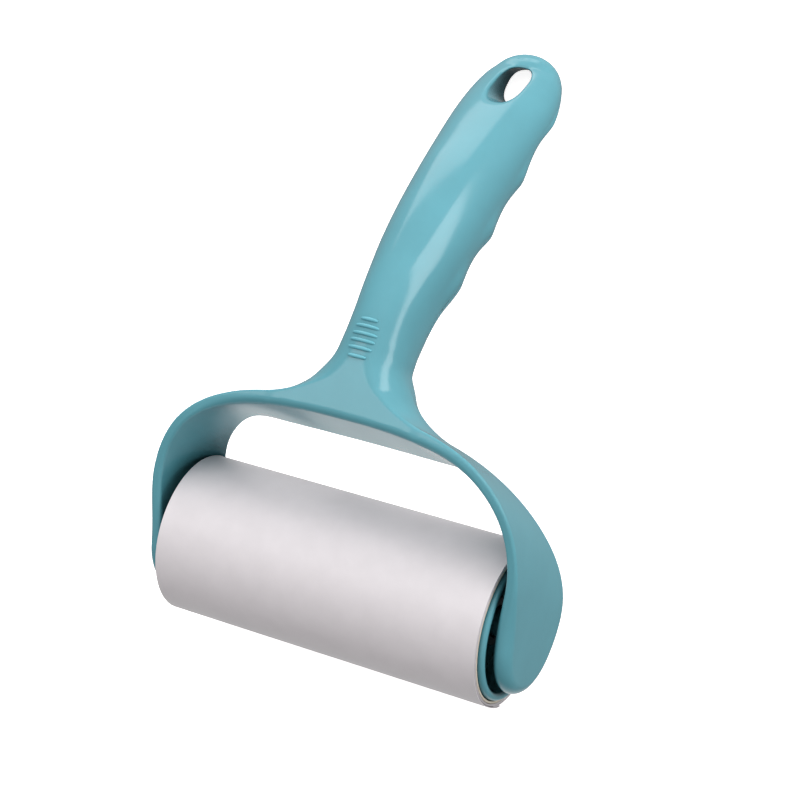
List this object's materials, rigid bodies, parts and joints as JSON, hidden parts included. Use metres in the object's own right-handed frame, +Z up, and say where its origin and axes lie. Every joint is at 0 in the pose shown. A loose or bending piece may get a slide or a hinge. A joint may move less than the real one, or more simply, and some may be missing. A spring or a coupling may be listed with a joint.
{
  "type": "lint roller",
  "caption": "Sticky paper roll on a hollow drum turning between the arms of a bowed plastic handle with a hanging hole.",
  "frame": {"origin": "on the table under the middle of the roll, where the roll's lowest line touches it", "axes": "+X along the roll's axis, +Y from the roll toward the end of the handle, +Z up from the table"},
  "size_m": [0.114, 0.1832, 0.0581],
  "materials": {
    "teal_plastic": "smooth, softly glossy moulded plastic",
    "sticky_paper": "smooth coated paper with a faint sheen from its adhesive",
    "core_board": "bare brown board"
  },
  "bodies": {
    "handle": {"handle_frame": "teal_plastic", "grip_underside": "teal_plastic"},
    "roller": {"drum": "teal_plastic", "end_cap_left": "teal_plastic", "end_cap_right": "teal_plastic", "core_tube": "core_board", "sheet_roll": "sticky_paper", "top_sheet": "sticky_paper"}
  },
  "joints": [
    {"name": "roller_spin", "type": "hinge", "parent": "handle", "child": "roller", "pos_m": [0, 0, 0.02267], "axis": [1, 0, 0], "continuous": true}
  ]
}
